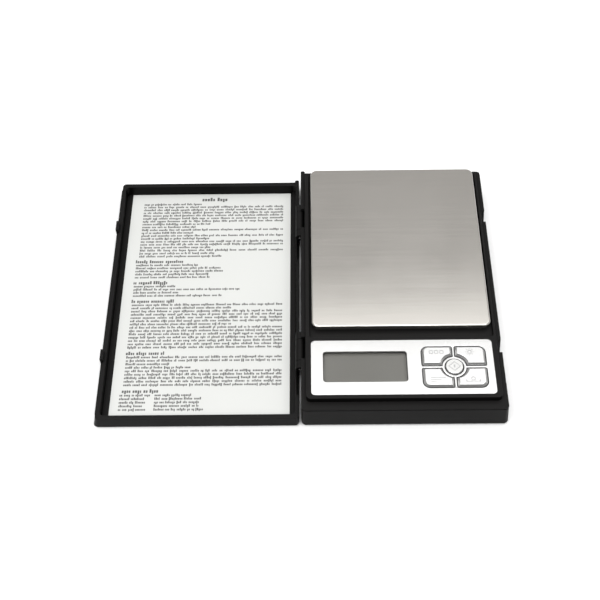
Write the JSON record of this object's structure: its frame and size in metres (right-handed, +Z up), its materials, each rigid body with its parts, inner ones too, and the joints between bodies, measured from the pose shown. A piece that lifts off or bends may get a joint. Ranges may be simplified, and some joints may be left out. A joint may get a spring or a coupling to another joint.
{
  "type": "folding pocket gram scale",
  "caption": "Folding pocket gram scale: a tray cover hinges like a book over a base with a steel weighing platter, a display window and a keypad.",
  "frame": {"origin": "centre of the base's underside, on the table", "axes": "+X to the base's free edge, away from the hinge; +Y to the back; +Z up. The open cover lies on the -X side."},
  "size_m": [0.2124, 0.1618, 0.0225],
  "materials": {
    "black_case": "fine moulded grain, satin",
    "black_frame": "moulded, satin",
    "spacer_plate": "plain",
    "silver_panel": "bright metallic coating, glossy",
    "silver_key": "bright metallic coating, glossy",
    "clear_window": "clear",
    "display_cell": "grey-green liquid crystal cell",
    "light_guide": "milky",
    "contact_rubber": "striped conductive rubber",
    "board": "solder mask",
    "chip_resin": "moulded resin",
    "contact_metal": "plated spring steel",
    "load_cell_alloy": "milled",
    "gauge_coating": "silicone coating",
    "screw_steel": "zinc plated",
    "pin_steel": "drawn wire",
    "wire_sheath": "soft sheath",
    "cell_sleeve": "plain printed sleeve",
    "platter_steel": "fine brushed stainless sheet",
    "foot_rubber": "matte",
    "card": "white printed label, satin"
  },
  "bodies": {
    "base": {"lower_case": "black_case", "upper_case": "black_case", "face_panel": "silver_panel", "display_lens": "clear_window", "display_glass": "display_cell", "display_backlight": "light_guide", "display_connectors": "contact_rubber", "circuit_board": "board", "circuit_chips": "chip_resin", "key_domes": "contact_metal", "load_cell": "load_cell_alloy", "load_cell_pad": "spacer_plate", "load_cell_screws": "screw_steel", "strain_gauges": "gauge_coating", "load_cell_leads": "wire_sheath", "battery_leads": "wire_sheath", "battery_cell_left": "cell_sleeve", "battery_cell_right": "cell_sleeve", "battery_bridge": "contact_metal", "battery_terminals": "contact_metal", "hinge_pin_front": "pin_steel", "hinge_pin_rear": "pin_steel", "case_screws": "screw_steel", "board_screws": "screw_steel", "foot_front_left": "foot_rubber", "foot_front_right": "foot_rubber", "foot_rear_left": "foot_rubber", "foot_rear_right": "foot_rubber"},
    "cover": {"cover_shell": "black_case", "instruction_card": "card"},
    "platform": {"platform_carrier": "black_frame", "weighing_platter": "platter_steel", "platform_spacer": "spacer_plate", "platform_screws": "screw_steel"},
    "count_button": {"count_key": "silver_key"},
    "light_button": {"light_key": "silver_key"},
    "mode_button": {"mode_key": "silver_key"},
    "tare_button": {"tare_key": "silver_key"},
    "power_button": {"power_key": "silver_key"},
    "door": {"battery_door": "black_case"}
  },
  "joints": [
    {"name": "cover_hinge", "type": "hinge", "parent": "base", "child": "cover", "pos_m": [-0.05278, 0, 0.0125], "axis": [0, 1, 0], "range_deg": [0, 180]},
    {"name": "platform_slide", "type": "slide", "parent": "base", "child": "platform", "axis": [0, 0, 1], "range_m": [-0.0003, 0], "stiffness_N_per_m": 20000, "springref_m": 0.0002},
    {"name": "count_press", "type": "slide", "parent": "base", "child": "count_button", "axis": [0, 0, 1], "range_m": [-0.0006, 0], "stiffness_N_per_m": 1500, "springref_m": 0.0004},
    {"name": "light_press", "type": "slide", "parent": "base", "child": "light_button", "axis": [0, 0, 1], "range_m": [-0.0006, 0], "stiffness_N_per_m": 1500, "springref_m": 0.0004},
    {"name": "mode_press", "type": "slide", "parent": "base", "child": "mode_button", "axis": [0, 0, 1], "range_m": [-0.0006, 0], "stiffness_N_per_m": 1500, "springref_m": 0.0004},
    {"name": "tare_press", "type": "slide", "parent": "base", "child": "tare_button", "axis": [0, 0, 1], "range_m": [-0.0006, 0], "stiffness_N_per_m": 1500, "springref_m": 0.0004},
    {"name": "power_press", "type": "slide", "parent": "base", "child": "power_button", "axis": [0, 0, 1], "range_m": [-0.0006, 0], "stiffness_N_per_m": 1500, "springref_m": 0.0004},
    {"name": "battery_door_slide", "type": "slide", "parent": "base", "child": "door", "axis": [0, 1, 0], "range_m": [0, 0.058]}
  ]
}
